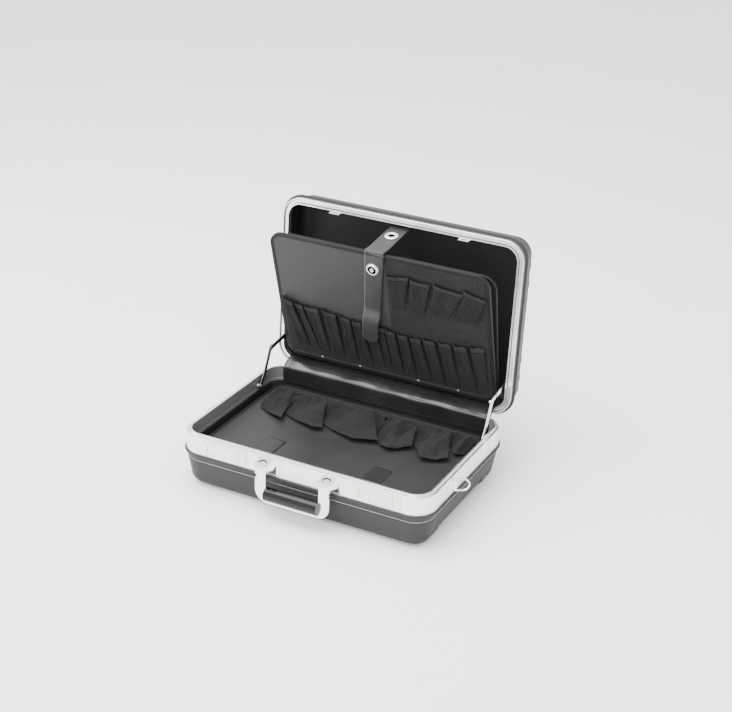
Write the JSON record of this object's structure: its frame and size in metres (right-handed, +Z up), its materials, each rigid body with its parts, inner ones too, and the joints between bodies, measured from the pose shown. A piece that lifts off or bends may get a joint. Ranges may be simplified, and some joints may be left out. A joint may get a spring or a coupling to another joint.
{
  "type": "hard tool case",
  "caption": "Open hard tool case with an aluminium closing frame, latches with key locks, a folding handle, lid stays, strap rings, pocketed tool boards and a base board.",
  "frame": {"origin": "under the middle of the open case's box, on the surface that the case stands on", "axes": "+X along the front edge to the right as seen from the front, +Y to the back where the lid is, +Z up"},
  "size_m": [0.515, 0.459, 0.4344],
  "materials": {
    "shell": "fine leather grain",
    "aluminium_frame": "satin anodised",
    "chromed_steel": "bright",
    "latch_plate": "satin nickel",
    "grip_plastic": "glossy",
    "zinc_steel": "zinc plated",
    "guide_plastic": "smooth",
    "panel_grey": "fine grain",
    "board_core": "fine grain",
    "leatherette": "grained",
    "strap_leather": "grained"
  },
  "bodies": {
    "base": {"base_shell": "shell", "base_frame": "aluminium_frame", "hinge_base_leaves": "zinc_steel", "hinge_pins": "zinc_steel", "latch_plates": "latch_plate", "latch_pins": "zinc_steel", "bolt_guides": "guide_plastic", "handle_brackets": "chromed_steel", "handle_pins": "zinc_steel", "ring_brackets": "chromed_steel", "stay_base_brackets": "zinc_steel", "back_lining": "leatherette", "board_ledges": "guide_plastic"},
    "lid": {"lid_shell": "shell", "lid_frame": "aluminium_frame", "hinge_lid_leaves": "zinc_steel", "lid_catches": "zinc_steel", "stay_lid_brackets": "zinc_steel", "strap_anchor": "zinc_steel", "strap_bridge": "strap_leather", "strap_eyelet": "chromed_steel", "hinge_flap": "leatherette"},
    "front_tool_board": {"front_board": "panel_grey", "front_board_binding": "leatherette", "front_pockets_lower": "leatherette", "front_pockets_upper": "leatherette", "front_board_rivets": "zinc_steel", "strap_tail": "strap_leather", "snap_fastener": "chromed_steel"},
    "rear_tool_board": {"rear_board": "board_core", "rear_board_binding": "leatherette"},
    "base_tool_board": {"base_board": "panel_grey", "base_board_binding": "leatherette", "base_pockets": "leatherette", "pull_tabs": "leatherette"},
    "handle": {"handle_bow": "chromed_steel", "handle_grip": "grip_plastic"},
    "strap_ring_left": {"strap_ring_left": "chromed_steel"},
    "strap_ring_right": {"strap_ring_right": "chromed_steel"},
    "stay_lower_left": {"stay_lower_left": "chromed_steel"},
    "stay_lower_right": {"stay_lower_right": "chromed_steel"},
    "stay_upper_left": {"stay_upper_left": "chromed_steel"},
    "stay_upper_right": {"stay_upper_right": "chromed_steel"},
    "lever_left": {"latch_lever_left": "latch_plate"},
    "lever_right": {"latch_lever_right": "latch_plate"},
    "key_left": {"key_cylinder_left": "chromed_steel"},
    "key_right": {"key_cylinder_right": "chromed_steel"},
    "bolt_left": {"lock_bolt_left": "zinc_steel"},
    "bolt_right": {"lock_bolt_right": "zinc_steel"}
  },
  "joints": [
    {"name": "lid_hinge", "type": "hinge", "parent": "base", "child": "lid", "pos_m": [-0.00881, 0.13664, 0.0967], "axis": [1, 0, 0], "range_deg": [0, 93.3], "deforming": ["strap_bridge", "hinge_flap", "strap_eyelet"]},
    {"name": "stay_foot_left", "type": "hinge", "parent": "base", "child": "stay_lower_left", "pos_m": [-0.23516, 0.05554, 0.087], "axis": [1, 0, 0], "range_deg": [-0.1, 93.4]},
    {"name": "stay_head_left", "type": "hinge", "parent": "lid", "child": "stay_upper_left", "pos_m": [-0.23306, 0.17364, 0.1627], "axis": [1, 0, 0], "range_deg": [-93.4, 0.1]},
    {"name": "stay_foot_right", "type": "hinge", "parent": "base", "child": "stay_lower_right", "pos_m": [0.21754, 0.05554, 0.087], "axis": [1, 0, 0], "range_deg": [-0.1, 93.4]},
    {"name": "stay_head_right", "type": "hinge", "parent": "lid", "child": "stay_upper_right", "pos_m": [0.21544, 0.17364, 0.1627], "axis": [1, 0, 0], "range_deg": [-93.4, 0.1]},
    {"name": "front_board_pivot", "type": "hinge", "parent": "lid", "child": "front_tool_board", "pos_m": [-0.00881, 0.14254, 0.126], "axis": [1, 0, 0], "range_deg": [-20.76, 0]},
    {"name": "rear_board_pivot", "type": "hinge", "parent": "lid", "child": "rear_tool_board", "pos_m": [-0.00881, 0.15004, 0.126], "axis": [1, 0, 0], "range_deg": [-17.55, 0]},
    {"name": "base_board_pivot", "type": "hinge", "parent": "base", "child": "base_tool_board", "pos_m": [-0.00881, 0.11504, 0.0685], "axis": [1, 0, 0], "range_deg": [-60, 0]},
    {"name": "lever_pivot_left", "type": "hinge", "parent": "base", "child": "lever_left", "pos_m": [-0.18716, -0.19991, 0.0866], "axis": [0, 0, -1], "range_deg": [0, 40], "stiffness_Nm_per_rad": 0.05, "springref_deg": -17.19},
    {"name": "key_turn_left", "type": "hinge", "parent": "lever_left", "child": "key_left", "pos_m": [-0.16031, -0.19846, 0.0866], "axis": [0, 1, 0], "range_deg": [0, 90]},
    {"name": "bolt_slide_left", "type": "slide", "parent": "base", "child": "bolt_left", "axis": [0, 1, 0], "range_m": [0, 0.006]},
    {"name": "lever_pivot_right", "type": "hinge", "parent": "base", "child": "lever_right", "pos_m": [0.10884, -0.19991, 0.0866], "axis": [0, 0, -1], "range_deg": [0, 40], "stiffness_Nm_per_rad": 0.05, "springref_deg": -17.19},
    {"name": "key_turn_right", "type": "hinge", "parent": "lever_right", "child": "key_right", "pos_m": [0.13569, -0.19846, 0.0866], "axis": [0, 1, 0], "range_deg": [0, 90]},
    {"name": "bolt_slide_right", "type": "slide", "parent": "base", "child": "bolt_right", "axis": [0, 1, 0], "range_m": [0, 0.006]},
    {"name": "handle_pivot", "type": "hinge", "parent": "base", "child": "handle", "pos_m": [-0.00881, -0.21846, 0.09], "axis": [-1, 0, 0], "range_deg": [0, 95]},
    {"name": "ring_swing_right", "type": "hinge", "parent": "base", "child": "strap_ring_right", "pos_m": [0.23579, -0.09646, 0.086], "axis": [0, 0, 1], "range_deg": [-115, 50]},
    {"name": "ring_swing_left", "type": "hinge", "parent": "base", "child": "strap_ring_left", "pos_m": [-0.25341, -0.09646, 0.086], "axis": [0, 0, -1], "range_deg": [-166, 0]}
  ],
  "couplings": [
    {"joint": "stay_foot_left", "follows": "lid_hinge", "ratio": 1},
    {"joint": "stay_head_left", "follows": "lid_hinge", "ratio": -1},
    {"joint": "key_turn_left", "follows": "bolt_slide_left", "rad_per_m": 261.7},
    {"joint": "stay_foot_right", "follows": "lid_hinge", "ratio": 1},
    {"joint": "stay_head_right", "follows": "lid_hinge", "ratio": -1},
    {"joint": "key_turn_right", "follows": "bolt_slide_right", "rad_per_m": 261.7},
    {"joint": "front_board_pivot", "follows": "lid_hinge", "ratio": -0.222},
    {"joint": "rear_board_pivot", "follows": "lid_hinge", "ratio": -0.1876}
  ]
}
